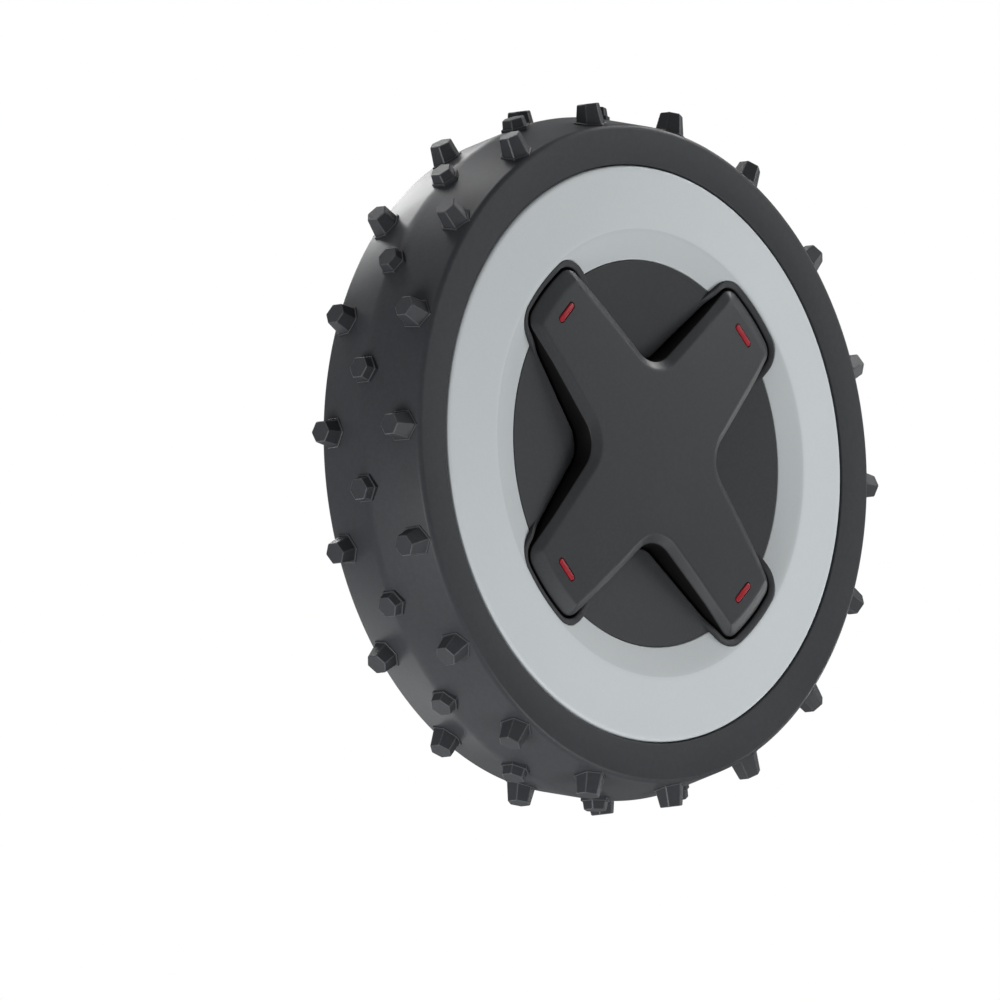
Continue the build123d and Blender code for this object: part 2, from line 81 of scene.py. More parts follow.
# Depth of the pocket's rim under the dish, where the rim has sunk into it.
RIM_SINK = 0.03
# Depth under a ring's face down to which its vertices follow the face.
FACE_LAYER = 0.6

# Round at the cap's lower edges.
BASE_ROUND = 0.2
# Depths under the bevel's foot of the side wall's end and of the loop above it, and the inset of
# that loop.
WALL_END = 0.45
EDGE_END = 0.15
EDGE_INSET = 0.04
# Distances of the loops over the bevel from the cap's edge; inside the last one lies the crown.
BEVEL_INSETS = (0.16, 0.4, 0.8, 1.2, 1.6, 2.0, 2.4, 2.7, 3.0, 3.4, 4.0)
# Widths over which the crown changes to the tips' slopes, and both to the bevel.
TIP_BLEND = 0.25
BEVEL_BLEND = 0.3
# Distances from the axle of the cuts across the crown, close together where the tips' slopes begin.
CROWN_CUTS = range(-57, 58, 3)
CREASE_CUTS = (58.5, 59.0, 59.5, 60.0, 60.5, 61.0, 61.7)

# Places of a Mix node's colours among its inputs, and of the mixed colour among its outputs.
MIX_FIRST, MIX_SECOND, MIX_RESULT = 6, 7, 2

# Place in metres, side in metres and power in watts of each lamp.
LAMPS = {
    "upper_key": ((1.8, -1.3, 0.95), 1.1, 17.0),
    "lower_key": ((0.85, -1.55, -1.02), 0.9, 23.0),
    "low_fill": ((-1.5, -0.1, -0.7), 0.7, 24.0),
    "back_softbox": ((0.5, 1.25, 0.82), 0.5, 9.0),
    "low_back": ((0.2, 1.5, -0.7), 0.8, 6.5),
    "under_light": ((-0.2, 0.35, -0.72), 0.5, 1.2),
    "overhead": ((-0.02, 0.8, 1.5), 0.6, 11.0),
    "edge_light": ((1.25, -0.1, 1.15), 0.4, 12.0),
    "side_light": ((1.5, -0.12, -0.2), 0.3, 2.6),
}

# Strength of the surroundings' light, where it is seen, and what is added where it is mirrored.
SURROUND_LIGHT = 0.27
SURROUND_SEEN = 1.0
SURROUND_MIRRORED = 0.1

# The floor's height and half its side, and the camera's axes, place and width of view, in metres.
FLOOR_HEIGHT = -1.5
FLOOR_HALF = 60.0
VIEW_RIGHT = Vector((0.68002, -0.73319, 0.0))
VIEW_UP = Vector((-0.08895, -0.08250, 0.99261))
VIEW_CENTRE = (-0.02957, -0.0127)
VIEW_DISTANCE = 1.5
VIEW_WIDTH = 0.3107

BLACK = (0.0, 0.0, 0.0, 1.0)
WHITE = (1.0, 1.0, 1.0, 1.0)
FLOOR_PAINT = (0.8, 0.8, 0.8, 1.0)
FLOOR_GLOW = (0.6, 0.6, 0.6, 1.0)


def size(name, default, description):
    """A size property, in millimetres unless its description says otherwise."""
    return bpy.props.FloatProperty(name=name, description=description, default=default, min=0.0)


def colour(name, default, description):
    """A colour property with linear red, green and blue."""
    return bpy.props.FloatVectorProperty(
        name=name, description=description, default=default,
        subtype="COLOR", size=3, min=0.0, max=1.0,
    )


class TyreSizes(bpy.types.PropertyGroup):
    """Sizes of the tyre and its studs."""

    half_width: size("Half width", 20.7, "Half the width of the tyre")
    ridge_radius: size("Ridge radius", 106.8, "Radius where the two tread cones would meet")
    slope: size("Tread slope", 0.205, "Fall of the tread per millimetre from the middle")
    ridge_round: size("Ridge round", 10.0, "Round along the middle of the tread")
    shoulder_round: size("Shoulder round", 1.8, "Round between tread and side wall")
    lip_radius: size("Lip radius", 90.2, "Inner radius of the front side wall")
    lip_thickness: size("Lip thickness", 3.4, "Thickness of the front side wall's lip")
    bore_radius: size("Bore radius", 94.1, "Radius where the tyre sits on the rim")
    back_radius: size("Back radius", 96.3, "Inner radius of the back side wall")
    back_seat: size("Back seat", 18.0, "Depth of the clamp ring's seat behind the middle")
    stud_radius: size("Stud tip radius", 110.0, "Radius of the studs' tips")
    stud_across: size("Stud tip size", 6.4, "Size across the flats of a stud's tip")
    stud_draft: size("Stud draft", 8.5, "Lean of a stud's sides in degrees")
    stud_root: size("Stud root", 2.5, "Depth of a stud's root under the tread")
    stud_edge: size("Stud edge", 0.26, "Width of the highlight-painted edges of a stud")
    stud_row: size("Row offset", 14.6, "Distance of the side rows from the middle")
    collar_step: size("Collar step", 0.45, "Width of the collar round a stud's foot")
    collar_height: size("Collar height", 0.45, "Height of the collar over the tread")
    collar_edge: size("Collar edge", 0.15, "Width of the highlight-painted edges of a collar")
    studs_per_row: bpy.props.IntProperty(
        name="Studs per row", description="Number of studs in each of the three rows", default=18
    )


class FaceSizes(bpy.types.PropertyGroup):
    """Sizes of the trim ring and the hub disc."""

    trim_radius: size("Trim radius", 89.9, "Outer radius of the trim ring")
    trim_edge: size("Trim edge height", 20.9, "Height of the trim ring's outer edge")
    crest_radius: size("Crest radius", 69.9, "Radius of the trim ring's crest")
    crest_height: size("Crest height", 23.5, "Height of the trim ring's crest")
    crest_round: size("Crest round", 2.5, "Round of the trim ring's crest")
    trim_round: size("Trim edge round", 1.4, "Round at the trim ring's outer edge")
    ring_wall: size("Ring wall", 2.2, "Wall thickness of the trim ring")
    disc_wall: size("Disc wall", 2.2, "Wall thickness of the hub disc")
    disc_radius: size("Disc radius", 60.3, "Outer radius of the hub disc")
    disc_edge: size("Disc edge height", 21.4, "Height of the hub disc's edge")
    disc_slope: size("Disc slope", 0.083, "Fall of the dish per millimetre towards the axle")
    seam: size("Seam", 0.18, "Gap between neighbouring pieces")
    web_height: size("Web height", 12.0, "Height of the rim's web, on which disc and ring stand")
    floor_height: size("Pocket floor height", 14.2, "Height of the pocket's floor")
    pocket_gap: size("Pocket gap", 0.9, "Gap between cap and pocket wall")
    pocket_wall: size("Pocket rim width", 2.05, "Width of the pocket's raised rim")
    pocket_rim: size("Pocket rim height", 23.25, "Height of the pocket's rim round the tips")
    rim_fade: size("Rim fade radius", 55.0, "Radius inside which the rim lies in the dish")
    rim_full: size("Rim full radius", 63.5, "Radius outside which the rim has its full height")
    sleeve_hole: size("Sleeve hole", 16.0, "Radius of the hole in the pocket's floor")
    peg_hole: size("Peg hole", 4.05, "Radius of the holes round the cap's pegs")


class CapSizes(bpy.types.PropertyGroup):
    """Sizes of the cross cap and its inlays."""

    reach: size("Reach", 66.3, "Radius of the arms' tips")
    notch: size("Notch", 25.5, "Distance from the axle to the corner between two arms")
    taper: size("Taper", 0.098, "Narrowing of each side of an arm per millimetre")
    notch_round: size("Notch round", 10.0, "Round between two arms")
    corner_round: size("Corner round", 5.0, "Round at the corners of a tip")
    base: size("Base height", 14.5, "Height of the cap's lower edge")
    crown: size("Crown height", 27.25, "Height of the crown at the axle")
    crown_fall: size("Crown fall", 1710.0, "Squared radius over which the crown falls by 1 mm")
    foot: size("Bevel foot height", 25.25, "Height of the bevel's foot, carried to the axle")
    foot_fall: size("Bevel foot fall", 2700.0, "Squared radius over which the foot falls by 1 mm")
    bevel: size("Bevel width", 2.8, "Width of the bevel along the arms")
    foot_bend: size("Foot bend radius", 52.0, "Radius outside which the bevel's foot falls faster")
    foot_slope: size("Foot slope", 0.064, "Extra fall of the bevel's foot per millimetre out there")
    tip_height: size("Tip height", 22.8, "Height of the tip's edge")
    tip_slope: size("Tip slope", 0.49, "Rise of the tip's slope per millimetre towards the axle")
    wall: size("Wall", 2.4, "Wall thickness")
    peg_circle: size("Peg circle", 48.0, "Distance of the pegs from the axle")
    peg_radius: size("Peg radius", 2.2, "Radius of a peg")
    peg_end: size("Peg end height", 9.6, "Height of the pegs' ends")
    boss_radius: size("Peg boss radius", 4.0, "Radius of the boss above a peg")
    boss_end: size("Peg boss height", 15.5, "Height of the boss's shoulder")
    inlay_circle: size("Inlay circle", 57.0, "Distance of the inlays from the axle")
    inlay_length: size("Groove length", 9.0, "Length of an inlay's groove")
    inlay_width: size("Groove width", 2.6, "Width of an inlay's groove")
    inlay_gap: size("Inlay gap", 0.35, "Gap between an inlay and its groove's wall")
    inlay_rise: size("Inlay rise", 0.25, "Height of an inlay's top over the crown")
    inlay_depth: size("Inlay thickness", 1.3, "Thickness of an inlay")


class WheelColours(bpy.types.PropertyGroup):
    """Base colours of the wheel's finishes."""

    rubber: colour("Rubber", (0.0315, 0.0335, 0.037), "Tyre rubber")
    # Stud edges are painted lighter: a painted highlight standing in for light caught on their small
    # rounded edges.
    edge_highlight: colour("Painted edge highlight", (0.050, 0.052, 0.056), "Edges of the studs")
    dark: colour("Dark moulding", (0.0385, 0.0400, 0.0430), "Hub disc and rim")
    cap: colour("Cap moulding", (0.033, 0.035, 0.038), "Cross cap")
    # Side walls of cap and pocket are painted very dark: painted shade where little light reaches
    # them.
    shadow: colour("Painted shade on side walls", (0.004, 0.0035, 0.0038), "Side walls of cap and pocket")
    light: colour("Light moulding", (0.464, 0.496, 0.51), "Trim ring")
    # The trim ring's inner slope is painted darker than the rest of the ring: painted shade in the
    # hollow round the disc and cap.
    inner: colour("Painted shade on inner slope", (0.412, 0.440, 0.452), "Slope from the ring's crest to the disc")
    grey: colour("Grey moulding", (0.12, 0.12, 0.125), "Rear cover")
    red: colour("Red", (0.255, 0.010, 0.018), "Inlays")
    steel: colour("Steel", (0.55, 0.55, 0.56), "Screws, nut and washer")
    hub: colour("Hub metal", (0.30, 0.30, 0.31), "Drive hub")


def tyre_sizes():
    """The tyre's sizes as set in the scene."""
    return bpy.context.scene.wheel_tyre


def face_sizes():
    """The trim ring's and the hub disc's sizes as set in the scene."""
    return bpy.context.scene.wheel_face


def cap_sizes():
    """The cap's sizes as set in the scene."""
    return bpy.context.scene.wheel_cap


def wheel_colours():
    """The finishes' colours as set in the scene."""
    return bpy.context.scene.wheel_colours


# Shapes


def point(radius, height, angle=0.0):
    """Place in the row frame of a radius, a height and an angle from +X towards +Z in degrees."""
    return Vector((radius * cos(radians(angle)), -height, radius * sin(radians(angle))))


def rounded(corners, segments):
    """Profile of (radius, height) points from corners given as (radius, height, round)."""
    points = []
    for index, (radius, height, bend) in enumerate(corners):
        corner = Vector((radius, height))
        before = (Vector(corners[index - 1][:2]) - corner).normalized()
        after = (Vector(corners[(index + 1) % len(corners)][:2]) - corner).normalized()
        if bend <= 0:
            points.append(corner)
            continue
        half = before.angle(after) / 2
        reach = bend / tan(half)
        centre = corner + (before + after).normalized() * (bend / sin(half))
        start, end = corner + before * reach - centre, corner + after * reach - centre
        points += [centre + start.slerp(end, step / segments) * bend
                   for step in range(segments + 1)]
    return points


def ring_of(bm, places):
    """Closed loop of edges through the places."""
    verts = [bm.verts.new(place) for place in places]
    return [bm.edges.new((verts[index - 1], verts[index])) for index in range(len(verts))]


def spin_profile(bm, profile, steps):
    """Closed ring turned from a closed profile of (radius, height) points, in an empty bmesh."""
    edges = ring_of(bm, [(radius, -height, 0) for radius, height in profile])
    bmesh.ops.spin(
        bm, geom=bm.verts[:] + edges, cent=(0, 0, 0), axis=(0, 1, 0), dvec=(0, 0, 0),
        angle=2 * pi, steps=steps, use_merge=True, use_normal_flip=False, use_duplicate=False,
    )


def skin_over(bm, loops, dark):
    """Wall through closed loops of places; the bands listed in dark take the second material, painted
    shade.
    """
    rings = [ring_of(bm, places) for places in loops]
    for band, (first, second) in enumerate(zip(rings, rings[1:])):
        for face in bmesh.ops.bridge_loops(bm, edges=first + second)["faces"]:
            face.material_index = int(band in dark)
    return rings


def heading(angle):
    """Direction in plan at an angle in radians from across an arm towards its tip."""
    return Vector((sin(angle), cos(angle)))


def side_lean():
    """Half the taper angle of an arm, in radians."""
    return atan(cap_sizes().taper)


def side_course():
    """Direction along an arm's side, towards the tip."""
    lean = side_lean()
    return Vector((cos(lean), -sin(lean)))


def arm_marks():
    """Centres of the notch's and the tip corner's rounds, as (along, across) an arm."""
    cap = cap_sizes()
    lean = side_lean()
    side = cap.notch / sqrt(2)
    notch_reach = cap.notch_round / sin(pi / 4 + lean) / sqrt(2)
    notch_centre = Vector((side + notch_reach, side + notch_reach))
    normal = heading(lean)
    depth = normal.dot(Vector((side, side))) - cap.corner_round
    along = sqrt((cap.reach - cap.corner_round) ** 2 - depth**2)
    return notch_centre, normal * depth + side_course() * along


def arm_half(grow):
    """Half of an arm's outline, from the middle of the notch to the middle of the tip."""
    cap = cap_sizes()
    lean = side_lean()
    notch_centre, tip_centre = arm_marks()
    turn = atan2(tip_centre.x, tip_centre.y)
    notch_radius = cap.notch_round - grow
    corner_radius = cap.corner_round + grow
    start = notch_centre - heading(lean) * notch_radius
    end = tip_centre + heading(lean) * corner_radius
    points = [notch_centre - heading(angle) * notch_radius
              for angle in spaced(pi / 4, lean, NOTCH_STEPS)]
    points += [start.lerp(end, share) for share in spaced(0, 1, SIDE_STEPS)[1:-1]]
    points += [tip_centre + heading(angle) * corner_radius
               for angle in spaced(lean, turn, CORNER_STEPS)]
    points += [heading(angle) * (cap.reach + grow)
               for angle in spaced(turn, pi / 2, TIP_STEPS)[1:]]
    return points


def spaced(first, last, count):
    """Evenly spaced values, both ends among them."""
    return [first + (last - first) * step / count for step in range(count + 1)]


def cross_outline(grow):
    """Outline of the cross in plan as (x, z) points, grown outwards by an even width."""
    half = arm_half(grow)
    outline = []
    for turn in DIAGONALS:
        along = Vector((cos(radians(turn)), sin(radians(turn))))
        across = Vector((-along.y, along.x))
        lower = [along * place.x - across * place.y for place in half]
        upper = [along * place.x + across * place.y for place in reversed(half)]
        outline += lower + upper[1:-1]
    return outline


def fold(x, z):
    """Place of a plan point as (along, across) its nearest arm, across never negative."""
    angle = degrees(atan2(z, x)) % 90 - 45
    radius = hypot(x, z)
    return Vector((radius * cos(radians(angle)), abs(radius * sin(radians(angle)))))


def outline_radius(angle, grow):
    """Radius at which the grown cross outline crosses a ray at an angle in degrees."""
    low, high = 0.0, SEARCH_RADIUS
    for _halving in range(HALVINGS):
        middle = (low + high) / 2
        inside = cross_inset(middle * cos(radians(angle)), middle * sin(radians(angle))) > -grow
        low, high = (middle, high) if inside else (low, middle)
    return low


def cross_inset(x, z):
    """Distance of a plan point inside the cross outline, negative outside it."""
    cap = cap_sizes()
    place = fold(x, z)
    notch_centre, tip_centre = arm_marks()
    course = side_course()
    side = cap.notch / sqrt(2)
    if (place - notch_centre).dot(course) < 0:
        inset = (place - notch_centre).length - cap.notch_round
    else:
        inset = heading(side_lean()).dot(Vector((side, side)) - place)
    inset = min(inset, cap.reach - place.length)
    past_centre = (place - tip_centre).dot(course) > 0
    if past_centre and atan2(place.y, place.x) > atan2(tip_centre.y, tip_centre.x):
        inset = min(inset, cap.corner_round - (place - tip_centre).length)
    return inset


def soft_min(first, second, blend):
    """Smaller of two values, with a smooth change over within the blend."""
    share = min(max(0.5 + 0.5 * (second - first) / blend, 0.0), 1.0)
    return second * (1 - share) + first * share - blend * share * (1 - share)


def smooth_step(low, high, value):
    """Smooth rise from 0 to 1 between two values."""
    share = min(max((value - low) / (high - low), 0.0), 1.0)
    return share * share * (3 - 2 * share)


def dish_height(radius):
    """Height of the hub disc's dished face."""
    face = face_sizes()
    return face.disc_edge - face.disc_slope * (face.disc_radius - radius)


def trim_height(radius):
    """Height of the trim ring's face."""
    face = face_sizes()
    inner = face.disc_radius + face.seam
    rise = (face.crest_height - face.disc_edge) / (face.crest_radius - inner)
    fall = (face.crest_height - face.trim_edge) / (face.trim_radius - face.crest_radius)
    blend = face.crest_round * (rise + fall) / 2
    return soft_min(
        face.disc_edge + rise * (radius - inner),
        face.crest_height - fall * (radius - face.crest_radius),
        blend,
    )


def bevel_foot(radius):
    """Height of the foot of the cap's bevel."""
    cap = cap_sizes()
    return cap.foot - radius**2 / cap.foot_fall - max(radius - cap.foot_bend, 0.0) * cap.foot_slope


def cap_top(x, z, inset):
    """Height of the cap's top: crown, bevel along the arms and slope at the tips."""
    cap = cap_sizes()
    radius = hypot(x, z)
    crown = cap.crown - radius**2 / cap.crown_fall
    foot = bevel_foot(radius)
    bevel = foot + (crown - foot) * inset / cap.bevel
    tip = cap.tip_height + cap.tip_slope * (cap.reach - radius)
    return soft_min(soft_min(crown, tip, TIP_BLEND), bevel, BEVEL_BLEND)


def in_metres(bm):
    """Turns a mesh's faces outwards and brings it from millimetres to metres."""
    bmesh.ops.recalc_face_normals(bm, faces=bm.faces)
    bmesh.ops.scale(bm, vec=(MM, MM, MM), verts=bm.verts)


def mesh_from(name, bm):
    """Mesh of what a bmesh holds, which is freed."""
    mesh = bpy.data.meshes.new(name)
    bm.to_mesh(mesh)
    bm.free()
    return mesh


def linked(name, data):
    """Object of a mesh, a lamp or a camera, linked into the scene."""
    made = bpy.data.objects.new(name, data)
    bpy.context.scene.collection.objects.link(made)
    return made


def finished(name, bm, body, node):
    """Object from a mesh in millimetres, riding on a body in place of its CAD node."""
    bmesh.ops.remove_doubles(bm, verts=bm.verts, dist=MERGE)
    in_metres(bm)
    mesh = mesh_from(name, bm)
    mesh.shade_smooth()
    piece = linked(name, mesh)
    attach(piece, body)
    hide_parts(node)
    return piece


def mark_sharp(bm, angle):
    """Keeps edges crisp where two faces meet at more than an angle in degrees."""
    for edge in bm.edges:
        if len(edge.link_faces) == 2 and edge.calc_face_angle(0) > radians(angle):
            edge.smooth = False


def hexagon(bm, foot, tip, across, draft, edge):
    """Hexagonal frustum along +X, two corners along the axle, its edges in the second material, a
    painted highlight.
    """
    foot_across = across + 2 * (tip - foot) * tan(radians(draft))
    place = Matrix.Translation(((foot + tip) / 2, 0, 0)) @ Matrix.Rotation(pi / 2, 4, "Y")
    made = bmesh.ops.create_cone(
        bm, cap_ends=True, segments=6, radius1=foot_across / sqrt(3), radius2=across / sqrt(3),
        depth=tip - foot, matrix=place,
    )
    upper = [vert for vert in made["verts"] if abs(vert.co.x - tip) < NEAR]
    bmesh.ops.bevel(
        bm, geom=list({side for vert in upper for side in vert.link_edges}), offset=edge,
        segments=1, profile=0.5, affect="EDGES", material=1,
    )


def stud_mesh(height):
    """Mesh of one stud with its low collar, at the +X side of the tread, for copying round."""
    tyre = tyre_sizes()
    tread = tyre.ridge_radius - tyre.slope * abs(height)
    root = tread - tyre.stud_root
    top = tread + tyre.collar_height
    foot_across = tyre.stud_across + 2 * (tyre.stud_radius - tread) * tan(radians(tyre.stud_draft))
    lean = tyre.slope * ((height > 0) - (height < 0))
    stud = bmesh.new()
    hexagon(stud, root, top, foot_across + 2 * tyre.collar_step, 0.0, tyre.collar_edge)
    for vert in stud.verts:
        vert.co.x += lean * vert.co.y
    hexagon(stud, root, tyre.stud_radius, tyre.stud_across, tyre.stud_draft, tyre.stud_edge)
    bmesh.ops.translate(stud, vec=(0, -height, 0), verts=stud.verts)
    return mesh_from("stud", stud)


def build_tyre():
    """Tyre with a ridged tread, rounded shoulders and three rows of hexagonal studs."""
    tyre = tyre_sizes()
    edge = tyre.ridge_radius - tyre.slope * tyre.half_width
    lip_height = tyre.half_width - tyre.lip_thickness
    bm = bmesh.new()
    spin_profile(bm, rounded([
        (tyre.lip_radius, tyre.half_width, WALL_ROUND),
        (edge, tyre.half_width, tyre.shoulder_round),
        (tyre.ridge_radius, 0, tyre.ridge_round),
        (edge, -tyre.half_width, tyre.shoulder_round),
        (tyre.back_radius, -tyre.half_width, WALL_ROUND),
        (tyre.back_radius, -tyre.back_seat, 0),
        (tyre.bore_radius, -tyre.back_seat, 0),
        (tyre.bore_radius, lip_height, 0),
        (tyre.lip_radius, lip_height, 0),
    ], segments=7), TYRE_STEPS)
    pitch = 360 / tyre.studs_per_row
    for height, first in ((tyre.stud_row, 0), (-tyre.stud_row, 0), (0, pitch / 2)):
        mesh = stud_mesh(height)
        for index in range(tyre.studs_per_row):
            before = len(bm.verts)
            bm.from_mesh(mesh)
            bm.verts.ensure_lookup_table()
            turn = Matrix.Rotation(-radians(first + pitch * index), 3, "Y")
            bmesh.ops.rotate(bm, matrix=turn, verts=bm.verts[before:])
        bpy.data.meshes.remove(mesh)
    mark_sharp(bm, STUD_CREASE)
    finished("studded_tyre", bm, "wheel", "tyre")


def push_out(bm, grow, top, under, limit):
    """Moves a ring's inner part out to the grown cross outline, and drops what passes the limit."""
    radii = {}
    gone = []
    for vert in bm.verts:
        radius = hypot(vert.co.x, vert.co.z)
        angle = round(degrees(atan2(vert.co.z, vert.co.x)), 2)
        if angle not in radii:
            radii[angle] = outline_radius(angle, grow)
        edge = radii[angle]
        if edge >= limit:
            gone.append(vert)
        elif radius < edge:
            is_top = -vert.co.y > top(radius) - FACE_LAYER
            vert.co.x *= edge / radius
            vert.co.z *= edge / radius
            vert.co.y = -(top(edge) if is_top else under(edge))
    bmesh.ops.delete(bm, geom=gone, context="VERTS")


def trim_profile():
    """Closed profile of the trim ring, with a small round at the seam and one at its outer edge."""
    face = face_sizes()
    inner = face.disc_radius + face.seam
    wall, edge = face.ring_wall, face.trim_round
    shoulder = face.trim_radius - edge
    seam_round, seam_middle = 0.2, 0.06
    seam = [(inner, trim_height(inner) - seam_round),
            (inner + seam_middle, trim_height(inner + seam_middle) - seam_middle)]
    top = [(radius, trim_height(radius)) for radius in spaced(inner + seam_round, shoulder, 60)]
    outer = [(shoulder + edge * sin(angle), trim_height(shoulder) - edge * (1 - cos(angle)))
             for angle in spaced(0, pi / 2, 5)[1:]]
    below = [(face.trim_radius, face.web_height),
             (face.trim_radius - wall, face.web_height),
             (face.trim_radius - wall, face.trim_edge - wall),
             (face.crest_radius, face.crest_height - wall),
             (inner + wall, face.disc_edge - wall),
             (inner, face.disc_edge - 2 * wall)]
    return seam + top + outer + below


def build_trim_ring():
    """Crowned trim ring, cut out round the tips of the pocket's rim."""
    face = face_sizes()
    bm = bmesh.new()
    spin_profile(bm, trim_profile(), FACE_STEPS)
    push_out(bm, face.pocket_gap + face.pocket_wall + face.seam, trim_height,
             lambda radius: trim_height(radius) - 2 * face.ring_wall, face.trim_radius)
    # Faces inside the crest take the second material, a darker copy of the light moulding: painted
    # shade on the inner slope.
    for patch in bm.faces:
        middle = patch.calc_center_median()
        patch.material_index = int(hypot(middle.x, middle.z) < face.crest_radius)
    mark_sharp(bm, CREASE)
    finished("crowned_trim_ring", bm, "wheel", "trim_ring")


def disc_profile():
    """Closed profile of the hub disc's dish, with a small round at its outer edge."""
    face = face_sizes()
    radius = face.disc_radius
    edge_round, flat_end = 0.25, 0.6
    dish = [(step, dish_height(step)) for step in spaced(DISH_START, radius - flat_end, 30)]
    edge = [(radius - edge_round + edge_round * sin(angle),
             dish_height(radius) - edge_round * (1 - cos(angle)))
            for angle in spaced(0, pi / 2, 4)]
    below = [(radius, dish_height(radius) - face.disc_wall),
             (DISH_START, dish_height(DISH_START) - face.disc_wall)]
    return dish + edge + below


def build_hub_disc():
    """Dished disc, the pocket's raised rim and the pocket's walls and floor."""
    face = face_sizes()
    bm = bmesh.new()
    spin_profile(bm, disc_profile(), FACE_STEPS)
    push_out(bm, face.pocket_gap + DISH_TUCK, dish_height,
             lambda radius: dish_height(radius) - face.disc_wall, face.disc_radius)
    add_pocket(bm)
    mark_sharp(bm, CREASE)
    finished("dished_hub_disc", bm, "wheel", "hub_disc")


def rim_share(radius):
    """Share of its full height that the pocket's rim has at a radius."""
    face = face_sizes()
    return smooth_step(face.rim_fade, face.rim_full, radius)


def rim_height(radius):
    """Height of the pocket's rim, which sinks into the dish towards the axle."""
    dish = dish_height(radius) - RIM_SINK
    return dish + (face_sizes().pocket_rim - dish) * rim_share(radius)


def rim_loop(out, low, high):
    """Loop over the rim, out from the pocket's wall, at depths along the arms and at the tips."""
    places = []
    for x, z in cross_outline(face_sizes().pocket_gap + out):
        radius = hypot(x, z)
        height = rim_height(radius) - low - (high - low) * rim_share(radius)
        places.append(Vector((x, -height, z)))
    return places


def add_pocket(bm):
    """Rim, walls and floor of the cross-shaped pocket."""
    face = face_sizes()
    width = face.pocket_wall
    # Width from the pocket's wall, and depth under the rim's top along the arms and at the tips.
    section = ((0, 0.6, 0.8), (0.05, 0.42, 0.68), (0.2, 0.22, 0.52), (0.6, 0.05, 0.3),
               (1.0, 0, 0.14), (1.25, 0, 0.06), (1.4, 0, 0.02), (1.55, 0, 0),
               (width - 0.3, 0, 0), (width - 0.1, 0.05, 0.08), (width, 0.3, 0.35))
    loops = [plan_loop(face.pocket_gap, level(face.floor_height))]
    loops += [rim_loop(out, low, high) for out, low, high in section]
    loops.append(plan_loop(face.pocket_gap + width, level(face.web_height)))
    # Band 0, the pocket's wall, takes the second material: painted shade.
    rings = skin_over(bm, loops, dark=(0,))
    upper = holed_floor(bm, rings[0], face.floor_height)
    lower = holed_floor(bm, rings[-1], face.web_height)
    for upper_circle, lower_circle in zip(upper, lower):
        bmesh.ops.bridge_loops(bm, edges=upper_circle + lower_circle)


def holed_floor(bm, ring, height):
    """Floor inside a ring of edges, with holes for the sleeve and the pegs; returns their edges."""
    face = face_sizes()
    holes = [(point(0, 0), face.sleeve_hole)]
    holes += [(point(cap_sizes().peg_circle, 0, angle), face.peg_hole) for angle in DIAGONALS]
    circles = [ring_of(bm, circle_places(centre, radius, height)) for centre, radius in holes]
    edges = ring + [edge for circle in circles for edge in circle]
    bmesh.ops.triangle_fill(bm, use_beauty=True, use_dissolve=False, edges=edges)
    return circles


def circle_places(centre, radius, height):
    """Places round a circle parallel to the wheel's face."""
    return [Vector((centre.x + radius * cos(angle), -height, centre.z + radius * sin(angle)))
            for angle in spaced(0, 2 * pi, HOLE_STEPS)[:-1]]


def level(height):
    """Height of a loop that is level all round, for plan_loop."""
    return lambda x, z: height


def under_foot(depth):
    """Height of a loop at a depth under the foot of the cap's bevel, for plan_loop."""
    return lambda x, z: bevel_foot(hypot(x, z)) - depth


def over_bevel(inset):
    """Height of a loop on the cap's top at a distance inside its edge, for plan_loop."""
    return lambda x, z: cap_top(x, z, inset)


def build_cap():
    """Hollow crowned cross with bevelled edges, sloping tips, pegs and grooves for the inlays."""
    cap = cap_sizes()
    bm = bmesh.new()
    loops = [plan_loop(-cap.wall, crown_under),
             plan_loop(-cap.wall, level(cap.base + BASE_ROUND)),
             plan_loop(-cap.wall + BASE_ROUND, level(cap.base)),
             plan_loop(-BASE_ROUND, level(cap.base)),
             plan_loop(0, level(cap.base + BASE_ROUND)),
             plan_loop(0, under_foot(WALL_END)),
             plan_loop(-EDGE_INSET, under_foot(EDGE_END))]
    loops += [plan_loop(-inset, over_bevel(inset)) for inset in BEVEL_INSETS]
    # Bands 3 to 5, the cap's outer side wall, take the second material: painted shade.
    rings = skin_over(bm, loops, dark=(3, 4, 5))
    fill_top(bm, rings[-1])
    bmesh.ops.triangle_fill(bm, use_beauty=True, use_dissolve=False, edges=rings[0])
    for angle in DIAGONALS:
        add_peg(bm, point(cap.peg_circle, 0, angle))
    mark_sharp(bm, CREASE)
    piece = finished("crowned_cross_cap", bm, "cap", "cross_cap")
    # A cut keeps the side walls' second material, their painted shade, only where the mesh already
    # has a slot for it.
    for _slot in range(2):
        piece.data.materials.append(None)
    for angle in DIAGONALS:
        cut_groove(piece, angle)


def plan_loop(grow, height):
    """Places of the grown cross outline at a height that depends on the place."""
    return [Vector((x, -height(x, z), z)) for x, z in cross_outline(grow)]


def crown_under(x, z):
    """Height of the roof inside the cap."""
    cap = cap_sizes()
    radius = hypot(x, z)
    return min(cap.crown - radius**2 / cap.crown_fall,
               cap.tip_height + cap.tip_slope * (cap.reach - radius)) - cap.wall


def fill_top(bm, ring):
    """Closes the crown inside its last loop with a fine mesh that follows the crown."""
    filled = bmesh.ops.contextual_create(bm, geom=ring)["faces"]
    geometry = list(filled) + ring + list({vert for edge in ring for vert in edge.verts})
    offsets = [*CROWN_CUTS, *[-offset for offset in CREASE_CUTS], *CREASE_CUTS]
    for normal in (Vector((1, 0, 1)).normalized(), Vector((1, 0, -1)).normalized()):
        for offset in offsets:
            cut = bmesh.ops.bisect_plane(
                bm, geom=geometry, dist=NEAR, plane_co=normal * offset, plane_no=normal
            )
            geometry = cut["geom"]
    inside = {item for item in geometry if isinstance(item, bmesh.types.BMVert)}
    for vert in inside:
        inset = max(cross_inset(vert.co.x, vert.co.z), BEVEL_INSETS[-1])
        vert.co.y = -cap_top(vert.co.x, vert.co.z, inset)


